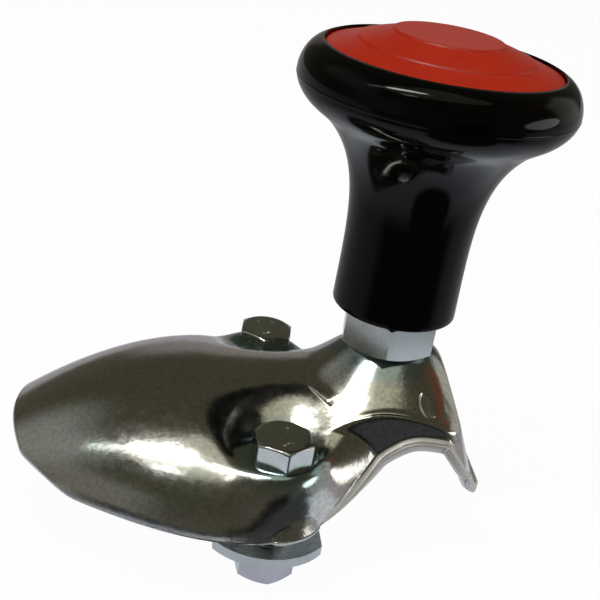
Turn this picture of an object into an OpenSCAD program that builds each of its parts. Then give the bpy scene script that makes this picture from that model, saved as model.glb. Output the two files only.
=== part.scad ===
// Steering wheel spinner knob: a ball-bearing knob on a pressed steel clamp.
// The spindle axis is Z, the top of the clamp's boss is z = 0,
// the tongue that covers the wheel's spoke points to -X and the rim hook to +X.

/* [Knob] */
// Diameter of the neck at its lower end
neck_d = 29.7; // [28:0.1:33]
// How far the neck narrows below its lower end
neck_waist = 0.4; // [0:0.1:0.8]
// Height of the knob from the neck's end to the crown of the rim
knob_h = 60.7; // [56:0.1:68]
// Diameter of the mushroom head
head_d = 63.6; // [60:0.1:70]
// Diameter of the circle that the rim's section turns about
rim_core_d = 52; // [48:0.5:56]
// Height of the rim above its widest line
rim_up = 8; // [6:0.1:9]
// Depth of the rim below its widest line
rim_down = 6.6; // [5.5:0.1:7.5]
// Running gap between the hexagon's top and the neck
neck_gap = 0.6; // [0.3:0.1:1.2]

/* [Cap] */
// Diameter of the red cap
cap_d = 54.6; // [50:0.1:55.4]
// Thickness of the cap's dome
cap_t = 2.2; // [1.5:0.1:3]
// How high the cap's centre stands over its edge
cap_rise = 4.6; // [3:0.1:6]
// Diameter of the inner tier
cap_tier_d = 41; // [36:0.5:46]
// Diameter of the flat disc at the centre
cap_disc_d = 26; // [20:0.5:32]
// Height of each tier's edge
cap_step = 0.45; // [0.2:0.05:0.6]
// Clearance round the cap in its recess
cap_clear = 0.1; // [0.05:0.05:0.2]

/* [Bearings] */
// Bore of the two ball bearings
brg_bore = 8; // [8:0.5:9]
// Outside diameter of the bearings
brg_d = 22; // [21:0.5:23]
// Width of a bearing
brg_w = 7; // [6.5:0.1:8]
// Diameter of a ball
ball_d = 3.96; // [3.5:0.02:4.1]
// Number of balls in a bearing
ball_n = 7; // [5:1:8]
// Play of a ball in its grooves
ball_clear = 0.04; // [0.02:0.01:0.08]
// Height of the lower bearing over the hexagon
brg_z = 3.1; // [2:0.1:5]
// Length of the spacer tube between the bearings
spacer_l = 27; // [20:0.5:28]

/* [Spindle] */
// Hexagon of the spindle, across flats
hex_af = 21.4; // [20:0.1:23]
// Height of the hexagon
hex_h = 9.4; // [8:0.1:12]
// Turn of the hexagon about the axis
hex_turn = 19.4; // [-30:0.1:30]
// Thread of the spindle's lower end
stud_d = 10; // [8:0.5:11]
// Length of the stud below the boss
stud_l = 15.5; // [14:0.5:16]
// Nut on the stud, across flats
stud_nut_af = 16; // [15:0.5:17]
// Height of the nut on the stud
stud_nut_h = 8; // [6:0.1:8.5]
// Thickness of the spring washer
spring_t = 2.4; // [1.8:0.1:2.8]

/* [Upper clamp] */
// Thickness of the pressed sheet
sheet_t = 2.5; // [2:0.1:2.8]
// Reach of the tongue from the spindle axis
tongue_reach = 88; // [80:0.5:98]
// Width over the belly
belly_w = 80.4; // [78:0.2:88]
// Width over the tip
tip_w = 33; // [26:0.5:40]
// Depth of the skirt's edge under the boss
skirt_z = 32.8; // [31:0.1:35]
// Depth of the tongue's back at the belly
back_z = 9.8; // [8:0.1:11]
// Extra depth of the tongue's back at the tip
tip_drop = 17.2; // [14:0.1:19]
// Distance from the axis to the boss's near and far walls, at their folds
wall_y = 19.2; // [18.6:0.1:21]
// Radius of the boss's flat top
boss_flat = 12.2; // [11.8:0.1:13]
// Half width of the flat where the boss runs out to the tongue
throat_flat = 9.5; // [8.5:0.1:10]
// Depth of the folds under the boss
fold_z = 10.2; // [9:0.1:11]
// Distance from the axis to where the boss bends down at its end
end_x = 10.5; // [9:0.1:12]
// Distance from the axis to the end wall, at the folds' depth
end_wall_x = 17.4; // [16.4:0.1:18.6]
// Radius of the end wall's corners, at the folds' depth
corner_r = 5.5; // [4:0.1:7]
// Height of the arch over the wheel's rim
arch_h = 14.8; // [12.5:0.1:16]
// Distance from the axis to the arch's crown
arch_x = 9.3; // [8:0.1:11]
// Radius of the tip's corners
tip_r = 9; // [6:0.5:11]
// Depth of the end wall's lower edge
hook_z = 30.3; // [28:0.1:32]

/* [Clamp bolts] */
// Distance from the spindle axis back to the bolts
bolt_x = 25.6; // [24:0.1:28]
// Distance between the two bolts
bolt_gap = 52.8; // [51:0.1:54]
// Depth of the bolt seats under the boss
seat_z = 18; // [17:0.1:19]
// Diameter of a bolt seat
seat_d = 18; // [16:0.2:20]
// Thread of the clamp bolts
bolt_d = 8; // [7:0.5:8.4]
// Hexagon of heads and nuts, across flats
bolt_af = 13; // [12:0.1:14]
// Turn of the near bolt and its nut about their axis
near_turn = 34.5; // [0:0.5:60]
// Turn of the far bolt and its nut about their axis
far_turn = 21.6; // [0:0.1:60]
// Height of a bolt head
head_h = 5.3; // [4.5:0.1:6]
// Length of a bolt under its head
bolt_l = 30; // [29:0.5:34]
// Height of a clamp nut
nut_h = 6.5; // [5.5:0.1:7]
// Clearance of the threads in the nuts
thread_clear = 0.08; // [0.04:0.01:0.1]
// Clearance of a shank in a plate
hole_clear = 0.5; // [0.3:0.1:0.8]

/* [Lower strap] */
// Width of the strap
strap_w = 25.6; // [22:0.2:28]
// Radius of the strap's round ends
strap_r = 16.5; // [14.5:0.5:20]
// Reach of the strap past a bolt's axis
strap_past = 9; // [8.6:0.1:11]
// Thickness of the strap
strap_t = 2.5; // [2:0.1:3]
// Depth of the strap's top under the boss
strap_z = 40.5; // [39:0.1:42]

/* [Hidden] */

big = 200;
cut = 0.01;
steel = [0.72, 0.73, 0.72];
dark_steel = [0.5, 0.51, 0.53];

neck_z = hex_h + neck_gap;
crown_z = neck_z + knob_h;
rim_z = crown_z - rim_up;
low_z = hex_h + brg_z;
top_z = low_z + brg_w + spacer_l;
collar_d = brg_bore + 4;
washer_t = 1.6;
top_nut_z = top_z + brg_w + washer_t;
spindle_top = top_nut_z + nut_h + 0.5;
seat_w = cap_d / 2 + cap_clear;
cap_floor = crown_z - 3.2;
cap_edge = crown_z + 0.6;
corner = 2 / sqrt(3);

function clamp01(t) = min(max(t, 0), 1);
function ease(t) = let (k = clamp01(t)) k * k * (3 - 2 * k);
function mix(a, b, k) = a * (1 - k) + b * k;
function soft_max(a, b, k) = k * ln(exp(a / k) + exp(b / k));

// Hexagonal prism with its corners chamfered at the ends that are asked for
module hex_prism(af, h, top = true, bottom = false) {
    r = af / 2 * corner;
    intersection() {
        cylinder(r = r, h = h, $fn = 6);
        rotate_extrude($fn = 64)
            polygon([
                [0, 0],
                [bottom ? af / 2 * 0.96 : r + 1, 0],
                [r + 1, bottom ? (r + 1 - af / 2 * 0.96) * 0.5 : 0],
                [r + 1, h - (top ? (r + 1 - af / 2 * 0.95) * 0.5 : 0)],
                [top ? af / 2 * 0.95 : r + 1, h],
                [0, h]
            ]);
    }
}

// The tongue's back falls to the tip, and rises to the boss past the bolts
function back_line(x) =
    let (s = clamp01((x + tongue_reach + 0.5) / (tongue_reach - 42)))
    -back_z - tip_drop * pow(1 - s, 2)
    + 4 * pow(clamp01((x + 40) / 36), 1.6)
    - 0.25 * pow(max(x + 2, 0), 2);

// Half width in plan: a leaf, widest behind the bolts, that narrows to the walls
function leaf(x) =
    let (belly_x = -bolt_x - 10.4)
    let (far = pow(clamp01((belly_x - x) / (tongue_reach + belly_x)), 1.67))
    let (back = ease((x - belly_x - 3) / 45))
    mix(belly_w / 2 - (belly_w - tip_w) / 2 * far, wall_y + 1.1, back);

// Outside of the sheet over a point of the plan
function dome(x, y) =
    let (t = clamp01(abs(y) / leaf(x)))
    let (c = back_line(x))
    c - (c + skirt_z + 0.7) * (1 - pow(1 - t * t, 0.6));

// A flat disc under the spindle, falling all round as a cone, bent down at the end
function plate(x, y) =
    let (near = ease((x + 12) / 12))
    let (flat = mix(throat_flat, boss_flat, near))
    let (fold = mix(fold_z - 1.3, fold_z, near))
    let (r = norm([x < 0 ? 0.95 * x : 0.86 * x, y]) - flat)
    let (slope = fold / (wall_y - flat) - 0.35 * ease((x - 5) / 8))
    let (fall = slope * (r > 8 ? r : 0.7 * ln(1 + exp(r / 0.7))))
    let (end = 0.08 * pow(max(x - end_x, 0), 2))
    -pow(pow(fall, 1.5) + pow(end, 1.5), 1 / 1.5);

// Walls of a rounded rectangle that grows with the depth h under the folds.
// In a corner (u - a h)^2 + (v - b h)^2 = (r + g h)^2 is solved for h.
lean = 2.6;
steep = 7;
grow = 0.03;
function walls(x, y) =
    let (side_h = (abs(y) - wall_y) * steep)
    let (end_h = (x - end_wall_x) * lean)
    let (a = 1 / lean - grow)
    let (b = 1 / steep - grow)
    let (u = x - end_wall_x + corner_r)
    let (v = abs(y) - wall_y + corner_r)
    let (p = a * a + b * b - grow * grow)
    let (q = a * u + b * v + grow * corner_r)
    let (c = u * u + v * v - corner_r * corner_r)
    let (corner_h = c / max(q + sqrt(max(q * q - p * c, 0)), 0.05))
    let (in_corner = u - a * corner_h > 0 && v - b * corner_h > 0 && u > 0)
    -fold_z - (in_corner ? corner_h : max(side_h, end_h));

function boss(x, y) = -soft_max(-plate(x, y), -walls(x, y), 0.3);

function seat_mix(x, y, side) =
    let (dx = x + bolt_x)
    let (dy = y - side * bolt_gap / 2)
    let (r = norm([dx < 0 ? dx * 0.93 : dx, dy]))
    let (soft = 1.15 + 0.8 * ease(-dy * side / 10))
    min(1.1 / (1 + exp((r - seat_d / 2 - 1.5) / soft)), 1);

function sheet_top(x, y) =
    let (k = seat_mix(x, y, -1) + seat_mix(x, y, 1))
    mix(soft_max(dome(x, y), boss(x, y), 0.8), -seat_z, k);

// The skirt's lower edge, with the arch that the wheel's rim passes under
function edge_line(x) =
    let (right = pow(max(x - arch_x, 0) / 10.8, 2.7))
    let (left = pow(max(arch_x - x, 0) / 14.5, 2))
    let (arch = -skirt_z + arch_h * exp(-right - left))
    x > 14 ? soft_max(arch, -hook_z, 0.4) : arch;

function trim(x, lo, hi, n) =
    let (m = (lo + hi) / 2)
    n == 0 ? m : sheet_top(x, m) > edge_line(x) ? trim(x, m, hi, n - 1) : trim(x, lo, m, n - 1);

function end_trim(lo, hi, n) =
    let (m = (lo + hi) / 2)
    n == 0 ? m : sheet_top(m, 0) > -hook_z + 0.7 ? end_trim(m, hi, n - 1) : end_trim(lo, m, n - 1);

function span(a, b, n) = [for (i = [0:n - 1]) a + (b - a) * i / n];

reach_end = end_trim(end_x, end_x + 30, 24);
stations = concat(
    span(-tongue_reach, -tongue_reach + 2, 3),
    span(-tongue_reach + 2, -78, 4),
    span(-78, -42, 12),
    span(-42, -8, 19),
    span(-8, end_x, 7),
    span(end_x, end_wall_x, 6),
    span(end_wall_x, reach_end, 9),
    [reach_end]
);
across = 22;
rays = [
    for (j = [-across:across])
        let (q = abs(j) / across)
        sign(j) * (1 - pow(1 - q, 1.5))
];

function plan_point(x, v) =
    let (bend = 7 * pow(clamp01((-tongue_reach + 24 - x) / 24), 2))
    let (half = trim(x + bend, 3, 60, 22))
    let (away = max(tip_r - x - tongue_reach, 0))
    let (y = v * (half - tip_r + sqrt(tip_r * tip_r - away * away)))
    [x + bend * pow(y / half, 2), y];

function surface_point(p) = [p[0], p[1], sheet_top(p[0], p[1])];

// Down through the sheet, square to a slightly smoothed surface
function through(p) =
    let (h = 1.2)
    let (gx = (sheet_top(p[0] + h, p[1]) - sheet_top(p[0] - h, p[1])) / (2 * h))
    let (gy = (sheet_top(p[0], p[1] + h) - sheet_top(p[0], p[1] - h)) / (2 * h))
    let (n = [-gx, -gy, 1])
    n / norm(n) * sheet_t;

module pressed_sheet() {
    cols = len(rays);
    rows = len(stations);
    flat = [for (x = stations) for (v = rays) plan_point(x, v)];
    outside = [for (p = flat) surface_point(p)];
    // The skirt is trimmed level, so the inside goes no lower than its edge
    inside = [
        for (p = flat)
            let (q = surface_point(p) - through(p))
            [q[0], q[1], max(q[2], -skirt_z)]
    ];
    m = rows * cols;
    function at(i, j) = i * cols + j;
    up = [
        for (i = [0:rows - 2]) for (j = [0:cols - 2]) for (f = [0, 1])
            f == 0 ? [at(i, j), at(i, j + 1), at(i + 1, j)]
                : [at(i, j + 1), at(i + 1, j + 1), at(i + 1, j)]
    ];
    down = [for (f = up) [f[2] + m, f[1] + m, f[0] + m]];
    rim = concat(
        [for (i = [0:rows - 2]) [at(i + 1, 0), at(i, 0)]],
        [for (j = [0:cols - 2]) [at(0, j), at(0, j + 1)]],
        [for (i = [0:rows - 2]) [at(i, cols - 1), at(i + 1, cols - 1)]],
        [for (j = [0:cols - 2]) [at(rows - 1, j + 1), at(rows - 1, j)]]
    );
    side = [
        for (e = rim) for (f = [0, 1])
            f == 0 ? [e[1], e[0], e[0] + m] : [e[1], e[0] + m, e[1] + m]
    ];
    polyhedron(points = concat(outside, inside), faces = concat(up, down, side));
}

module upper_clamp() {
    color(steel)
    difference() {
        pressed_sheet();
        // Flat lands for the hexagon and for the spring washer
        cylinder(r = hex_af / 2 * corner + 0.4, h = big);
        translate([0, 0, -sheet_t - big])
            cylinder(r = stud_nut_af / 2 * corner + 0.4, h = big);
        // Hole for the stud
        translate([0, 0, -big / 2])
            cylinder(d = stud_d + 2 * hole_clear, h = big);
        // Bolt seats and holes
        for (side = [-1, 1])
            translate([-bolt_x, side * bolt_gap / 2, -seat_z]) {
                cylinder(d = bolt_af * corner + 0.6, h = big);
                translate([0, 0, -big / 2])
                    cylinder(d = bolt_d + 2 * hole_clear, h = big);
            }
    }
}

module lower_strap() {
    color(steel)
    translate([-bolt_x, 0, -strap_z - strap_t])
    difference() {
        union() {
            translate([-strap_w / 2, -bolt_gap / 2 + 8, 0])
                cube([strap_w, bolt_gap - 16, strap_t]);
            for (side = [-1, 1])
                intersection() {
                    translate([0, side * (bolt_gap / 2 + strap_past - strap_r), 0])
                        cylinder(r = strap_r, h = strap_t, $fn = 120);
                    translate([-strap_w / 2, -bolt_gap, -1])
                        cube([strap_w, 2 * bolt_gap, strap_t + 2]);
                }
        }
        for (side = [-1, 1])
            translate([0, side * bolt_gap / 2, -1])
                cylinder(d = bolt_d + 2 * hole_clear, h = strap_t + 2);
    }
}

module clamp_bolt(side) {
    color(steel)
    translate([-bolt_x, side * bolt_gap / 2, -seat_z]) {
        rotate([0, 0, side < 0 ? near_turn : far_turn])
            hex_prism(bolt_af, head_h);
        translate([0, 0, -bolt_l])
            rotate_extrude($fn = 64)
                polygon([
                    [0, 0],
                    [bolt_d / 2 - 0.8, 0],
                    [bolt_d / 2, 0.8],
                    [bolt_d / 2, bolt_l + cut],
                    [0, bolt_l + cut]
                ]);
    }
}

module clamp_nut(side) {
    color(steel)
    translate([-bolt_x, side * bolt_gap / 2, -strap_z - strap_t - nut_h])
    difference() {
        rotate([0, 0, side < 0 ? near_turn : far_turn])
            hex_prism(bolt_af, nut_h, true, true);
        translate([0, 0, -1])
            cylinder(d = bolt_d + 2 * thread_clear, h = nut_h + 2);
    }
}

module spindle() {
    color(dark_steel)
    union() {
        rotate([0, 0, hex_turn])
            hex_prism(hex_af, hex_h, true, true);
        rotate_extrude($fn = 96)
            polygon([
                [0, -stud_l],
                [stud_d / 2 - 1, -stud_l],
                [stud_d / 2, -stud_l + 1],
                [stud_d / 2, cut],
                [stud_d / 2, hex_h - cut],
                [collar_d / 2, hex_h - cut],
                [collar_d / 2, low_z],
                [brg_bore / 2, low_z],
                [brg_bore / 2, spindle_top - 0.8],
                [brg_bore / 2 - 0.8, spindle_top],
                [0, spindle_top]
            ]);
    }
}

module spring_washer() {
    id = stud_d + 2 * thread_clear + 0.3;
    color(dark_steel)
    translate([0, 0, -sheet_t - spring_t])
    difference() {
        cylinder(d = stud_nut_af, h = spring_t);
        translate([0, 0, -1])
            cylinder(d = id, h = spring_t + 2);
        // The split, cut at a slant
        translate([id / 2 - 1, 0, spring_t / 2])
            rotate([20, 0, 0])
                translate([0, -0.5, -spring_t])
                    cube([stud_nut_af, 1, spring_t * 2]);
    }
}

module stud_nut() {
    color(dark_steel)
    translate([0, 0, -sheet_t - spring_t - stud_nut_h])
    difference() {
        hex_prism(stud_nut_af, stud_nut_h, true, true);
        translate([0, 0, -1])
            cylinder(d = stud_d + 2 * thread_clear, h = stud_nut_h + 2);
    }
}

// Knob outline: waisted neck, flaring throat, then the rim's round section
rim_x = rim_core_d / 2;
rim_out = head_d / 2 - rim_x;
throat_h = rim_z - rim_down - neck_z;
function rim_low(a) = [rim_x + rim_out * pow(cos(a), 1.33), rim_z - rim_down * pow(sin(a), 1.33)];
function rim_high(a) = [rim_x + rim_out * cos(a), rim_z + rim_up * sin(a)];
function throat(t) = [
    neck_d / 2 - neck_waist / 2 * sin(min(t * 260, 180))
        + (rim_x - neck_d / 2) * pow(t, 5.2),
    neck_z + throat_h * t
];

module knob_outline() {
    polygon(concat(
        [[0, neck_z], [neck_d / 2 - 0.6, neck_z]],
        [for (i = [1:26]) throat(i / 27)],
        [for (i = [8:-1:1]) rim_low(i * 9)],
        [for (i = [0:10]) rim_high(i * 9)],
        [[0, crown_z]]
    ));
}

module knob_body() {
    color([0.03, 0.03, 0.03])
    difference() {
        rotate_extrude($fn = 128)
            knob_outline();
        translate([0, 0, neck_z - 1])
            cylinder(d = brg_d, h = low_z + brg_w - neck_z + 1);
        translate([0, 0, neck_z])
            cylinder(d = brg_d - 4, h = crown_z);
        translate([0, 0, top_z])
            cylinder(d = brg_d, h = crown_z);
        translate([0, 0, cap_floor])
            cylinder(r = seat_w, h = big);
    }
}

// Half section of the cap: an outer cone, a step, an inner cone, a step and a disc
module cap_section() {
    r0 = cap_d / 2;
    r1 = cap_tier_d / 2;
    r2 = cap_disc_d / 2;
    cone = cap_rise - 2 * cap_step;
    z1 = cap_edge + cone * (r0 - r1) / (r0 - r2);
    z2 = cap_edge + cone + cap_step;
    polygon([
        [r0 - cap_t, cap_floor],
        [r0, cap_floor],
        [r0, cap_edge - 0.4],
        [r0 - 0.4, cap_edge],
        [r1 + 0.3, z1],
        [r1, z1 + cap_step],
        [r2 + 0.3, z2],
        [r2, z2 + cap_step],
        [0, z2 + cap_step],
        [0, z2 + cap_step - cap_t],
        [r2, z2 + cap_step - cap_t],
        [r1, z1 + cap_step - cap_t],
        [r0 - cap_t, cap_edge - cap_t]
    ]);
}

module knob_cap() {
    color([0.7, 0.12, 0.05])
    rotate_extrude($fn = 128)
        cap_section();
}

// Ball bearing, drawn with its lower face at z = 0
pitch_r = (brg_bore + brg_d) / 4;
groove_r = ball_d / 2 + ball_clear;
inner_land = pitch_r - ball_d * 0.36;
outer_land = pitch_r + ball_d * 0.36;

module race(r1, r2) {
    difference() {
        rotate_extrude($fn = 96)
            translate([r1, 0])
                square([r2 - r1, brg_w]);
        rotate_extrude($fn = 96)
            translate([pitch_r, brg_w / 2])
                circle(r = groove_r, $fn = 48);
    }
}

module race_inner() {
    color(dark_steel)
    race(brg_bore / 2, inner_land);
}

module race_outer() {
    color(dark_steel)
    race(outer_land, brg_d / 2);
}

module balls() {
    color(steel)
    for (i = [0:ball_n - 1])
        rotate([0, 0, i * 360 / ball_n])
            translate([pitch_r, 0, brg_w / 2])
                sphere(d = ball_d, $fn = 32);
}

module cage() {
    h = ball_d + 1.1;
    color([0.72, 0.6, 0.35])
    translate([0, 0, (brg_w - h) / 2])
    difference() {
        cylinder(r = pitch_r + 0.5, h = h);
        translate([0, 0, -1])
            cylinder(r = pitch_r - 0.5, h = h + 2);
        for (i = [0:ball_n - 1])
            rotate([0, 0, i * 360 / ball_n])
                translate([pitch_r - 1.5, 0, h / 2])
                    rotate([0, 90, 0])
                        cylinder(d = ball_d + 0.16, h = 3, $fn = 48);
    }
}

module spacer_tube() {
    color(steel)
    translate([0, 0, low_z + brg_w])
    difference() {
        cylinder(r = inner_land, h = spacer_l);
        translate([0, 0, -1])
            cylinder(d = brg_bore + 2 * thread_clear, h = spacer_l + 2);
    }
}

module top_washer() {
    color(steel)
    translate([0, 0, top_z + brg_w])
    difference() {
        cylinder(r = inner_land, h = washer_t);
        translate([0, 0, -1])
            cylinder(d = brg_bore + 2 * thread_clear, h = washer_t + 2);
    }
}

module top_nut() {
    color(steel)
    translate([0, 0, top_nut_z])
    difference() {
        hex_prism(bolt_af, nut_h, true, true);
        translate([0, 0, -1])
            cylinder(d = brg_bore + 2 * thread_clear, h = nut_h + 2);
    }
}

module at_low() { translate([0, 0, low_z]) children(); }
module at_top() { translate([0, 0, top_z]) children(); }

upper_clamp();
lower_strap();
clamp_bolt(-1);  // bolt_near
clamp_bolt(1);  // bolt_far
clamp_nut(-1);  // nut_near
clamp_nut(1);  // nut_far
spindle();
spring_washer();
stud_nut();
knob_body();
knob_cap();
at_low() race_inner();  // inner_race_low
at_low() race_outer();  // outer_race_low
at_low() balls();  // balls_low
at_low() cage();  // cage_low
at_top() race_inner();  // inner_race_top
at_top() race_outer();  // outer_race_top
at_top() balls();  // balls_top
at_top() cage();  // cage_top
spacer_tube();
top_washer();
top_nut();
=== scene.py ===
# Looks for the steering wheel spinner knob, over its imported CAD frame. Metres, +Z up the spindle.
import math

import bpy
import numpy as np
from mathutils import Matrix, Quaternion, Vector


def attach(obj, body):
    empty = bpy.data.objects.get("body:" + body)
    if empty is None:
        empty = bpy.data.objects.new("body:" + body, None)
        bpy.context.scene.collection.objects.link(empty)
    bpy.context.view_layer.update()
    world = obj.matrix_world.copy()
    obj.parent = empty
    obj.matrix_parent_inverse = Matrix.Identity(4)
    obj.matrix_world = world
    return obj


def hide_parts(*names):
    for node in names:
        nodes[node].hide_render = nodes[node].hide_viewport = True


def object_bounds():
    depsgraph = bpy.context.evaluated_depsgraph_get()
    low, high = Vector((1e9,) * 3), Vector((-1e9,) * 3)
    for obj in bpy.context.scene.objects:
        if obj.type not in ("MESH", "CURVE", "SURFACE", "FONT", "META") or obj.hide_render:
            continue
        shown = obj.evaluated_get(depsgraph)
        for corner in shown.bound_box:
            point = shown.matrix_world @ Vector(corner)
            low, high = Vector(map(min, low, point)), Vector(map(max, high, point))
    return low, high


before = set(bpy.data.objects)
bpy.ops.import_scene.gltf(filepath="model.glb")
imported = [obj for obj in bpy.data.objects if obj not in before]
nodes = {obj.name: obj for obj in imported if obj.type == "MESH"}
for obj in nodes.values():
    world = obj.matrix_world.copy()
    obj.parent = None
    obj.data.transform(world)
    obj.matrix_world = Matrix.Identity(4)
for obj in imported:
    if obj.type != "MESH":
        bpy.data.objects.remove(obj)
cadLow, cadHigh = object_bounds()
mm = 0.001
tau = 2 * math.pi


def linear(hexText):  # sRGB hex to linear colour
    parts = [int(hexText[i:i + 2], 16) / 255 for i in (1, 3, 5)]
    return [c / 12.92 if c <= 0.04045 else ((c + 0.055) / 1.055) ** 2.4 for c in parts] + [1.0]


def grey(value):
    return (value, value, value, 1.0)


def smoothStep(t):
    k = np.clip(t, 0, 1)
    return k * k * (3 - 2 * k)


def addNode(tree, kind, settings=None, **inputs):  # one node, its settings, and its inputs: a value or another node's socket
    made = tree.nodes.new("ShaderNode" + kind)
    for name, value in (settings or {}).items():
        setattr(made, name, value)
    for name, value in inputs.items():  # n0, n1 and so on are inputs by number, and the rest by name
        byNumber = name[0] == "n" and name[1:].isdigit()
        socket = made.inputs[int(name[1:])] if byNumber else made.inputs[name.replace("_", " ")]
        if isinstance(value, bpy.types.NodeSocket):
            tree.links.new(value, socket)
        else:
            socket.default_value = value
    return made


smooth = {"interpolation_type": "SMOOTHSTEP"}  # settings that many nodes share
colours = {"data_type": "RGBA"}
multiply = {"operation": "MULTIPLY"}
maximum = {"operation": "MAXIMUM"}
absolute = {"operation": "ABSOLUTE"}
apart = {"operation": "DISTANCE"}


def newMaterial(name):
    made = bpy.data.materials.new(name)
    made.use_nodes = True
    made.node_tree.nodes.clear()
    return made, made.node_tree


def finishMaterial(tree, shader):
    addNode(tree, "OutputMaterial", Surface=shader.outputs[0])


def ramp(tree, factor, stops):  # colour ramp from (place, linear colour) pairs
    made = addNode(tree, "ValToRGB", Fac=factor)
    line = made.color_ramp
    while len(line.elements) < len(stops):
        line.elements.new(0.5)
    for element, (place, colour) in zip(line.elements, stops):
        element.position = place
        element.color = colour
    return made


def meshPiece(name, points, faces, material, body, replaced):  # millimetres and faces to a smooth piece that rides on a body
    data = bpy.data.meshes.new(name)
    faces = faces.tolist() if isinstance(faces, np.ndarray) else faces
    data.from_pydata((np.asarray(points).reshape(-1, 3) * mm).tolist(), [], faces)
    data.validate()
    data.polygons.foreach_set("use_smooth", np.ones(len(data.polygons), bool))
    data.materials.append(material)
    data.update()
    made = bpy.data.objects.new(name, data)
    bpy.context.scene.collection.objects.link(made)
    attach(made, body)
    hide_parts(replaced)
    return made


def softenEdges(made, width, degrees):  # rounds the sharp edges
    softened = made.modifiers.new("softEdges", "BEVEL")
    softened.width = width * mm
    softened.segments = 2
    softened.limit_method = "ANGLE"
    softened.angle_limit = math.radians(degrees)
    softened.harden_normals = True


def gridQuads(rows, cols, wrap):  # faces of a rows x cols grid; wrap joins the last column to the first
    i, j = np.meshgrid(np.arange(rows - 1), np.arange(cols if wrap else cols - 1), indexing="ij")
    k = (j + 1) % cols
    return np.stack([i * cols + j, i * cols + k, (i + 1) * cols + k, (i + 1) * cols + j], -1).reshape(-1, 4)


def filleted(points, radii, steps=5):  # every inner corner becomes a short arc, as a quadratic curve
    points = [np.array(p, float) for p in points]
    made = [points[0]]
    for a, b, c, r in zip(points, points[1:], points[2:], radii[1:]):
        ab, bc = a - b, c - b
        reach = min(r, np.linalg.norm(ab) * 0.49, np.linalg.norm(bc) * 0.49)
        p, q = b + ab / np.linalg.norm(ab) * reach, b + bc / np.linalg.norm(bc) * reach
        t = np.linspace(0, 1, steps + 1)[:, None]
        made.extend((1 - t) ** 2 * p + 2 * t * (1 - t) * b + t ** 2 * q)
    made.append(points[-1])
    return np.array(made)


def refined(profile, gap):  # more points on long stretches
    made = [profile[0]]
    for a, b in zip(profile, profile[1:]):
        count = max(1, math.ceil(np.linalg.norm(b - a) / gap))
        made.extend(a + (b - a) * k / count for k in range(1, count + 1))
    return np.array(made)


def turned(profile, count, radiusAt=None, closed=False, centre=(0, 0, 0)):
    # A profile (r, z) carried round the axis: (r cos a, r sin a, z), where radiusAt(r, z, a) may reshape the radius
    angle = np.arange(count) * tau / count
    r, z = profile[:, 0][:, None], profile[:, 1][:, None]
    a = angle[None, :]
    radius = radiusAt(r, z, a) if radiusAt else r + 0 * a
    ring = np.stack([radius * np.cos(a), radius * np.sin(a), z + 0 * a], -1)
    lastRing = (len(profile) - 1) * count
    faces = gridQuads(len(profile), count, True).tolist()
    points = ring.reshape(-1, 3)
    if closed:  # the last ring meets the first
        faces += [[lastRing + j, lastRing + (j + 1) % count, (j + 1) % count, j] for j in range(count)]
    else:  # each end closes on a point of the axis
        points = np.concatenate([points, [[0, 0, profile[0, 1]], [0, 0, profile[-1, 1]]]])
        first, last = len(points) - 2, len(points) - 1
        faces += [[first, (j + 1) % count, j] for j in range(count)]
        faces += [[last, lastRing + j, lastRing + (j + 1) % count] for j in range(count)]
    return points + np.array(centre), faces


def joined(parts):
    points, faces, start = [], [], 0
    for p, f in parts:
        points.append(np.asarray(p))
        faces += [[v + start for v in face] for face in f]
        start += len(p)
    return np.concatenate(points), faces


print("frame loaded")

# Camera, fitted to the photograph: where it stands, which way it looks, and what is up
cameraSettings = {"lens": 66.514, "sensor": 36, "place": (-64.324, -235.161, 120.689),
                  "forward": (0.157948, 0.891484, -0.424627), "up": (-0.092950, 0.441539, 0.892415)}
forward = Vector(cameraSettings["forward"]).normalized()
upward = Vector(cameraSettings["up"])
upward = (upward - forward * upward.dot(forward)).normalized()
rightward = forward.cross(upward)
cameraData = bpy.data.cameras.new("studioCamera")
cameraData.lens = cameraSettings["lens"]
cameraData.sensor_width = cameraSettings["sensor"]
cameraData.clip_start = 0.01
camera = bpy.data.objects.new("studioCamera", cameraData)
camera.matrix_world = Matrix((
    (rightward.x, upward.x, -forward.x, cameraSettings["place"][0] * mm),
    (rightward.y, upward.y, -forward.y, cameraSettings["place"][1] * mm),
    (rightward.z, upward.z, -forward.z, cameraSettings["place"][2] * mm),
    (0, 0, 0, 1)))
bpy.context.scene.collection.objects.link(camera)
bpy.context.scene.camera = camera
bpy.context.scene.view_settings.view_transform = "Standard"

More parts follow.
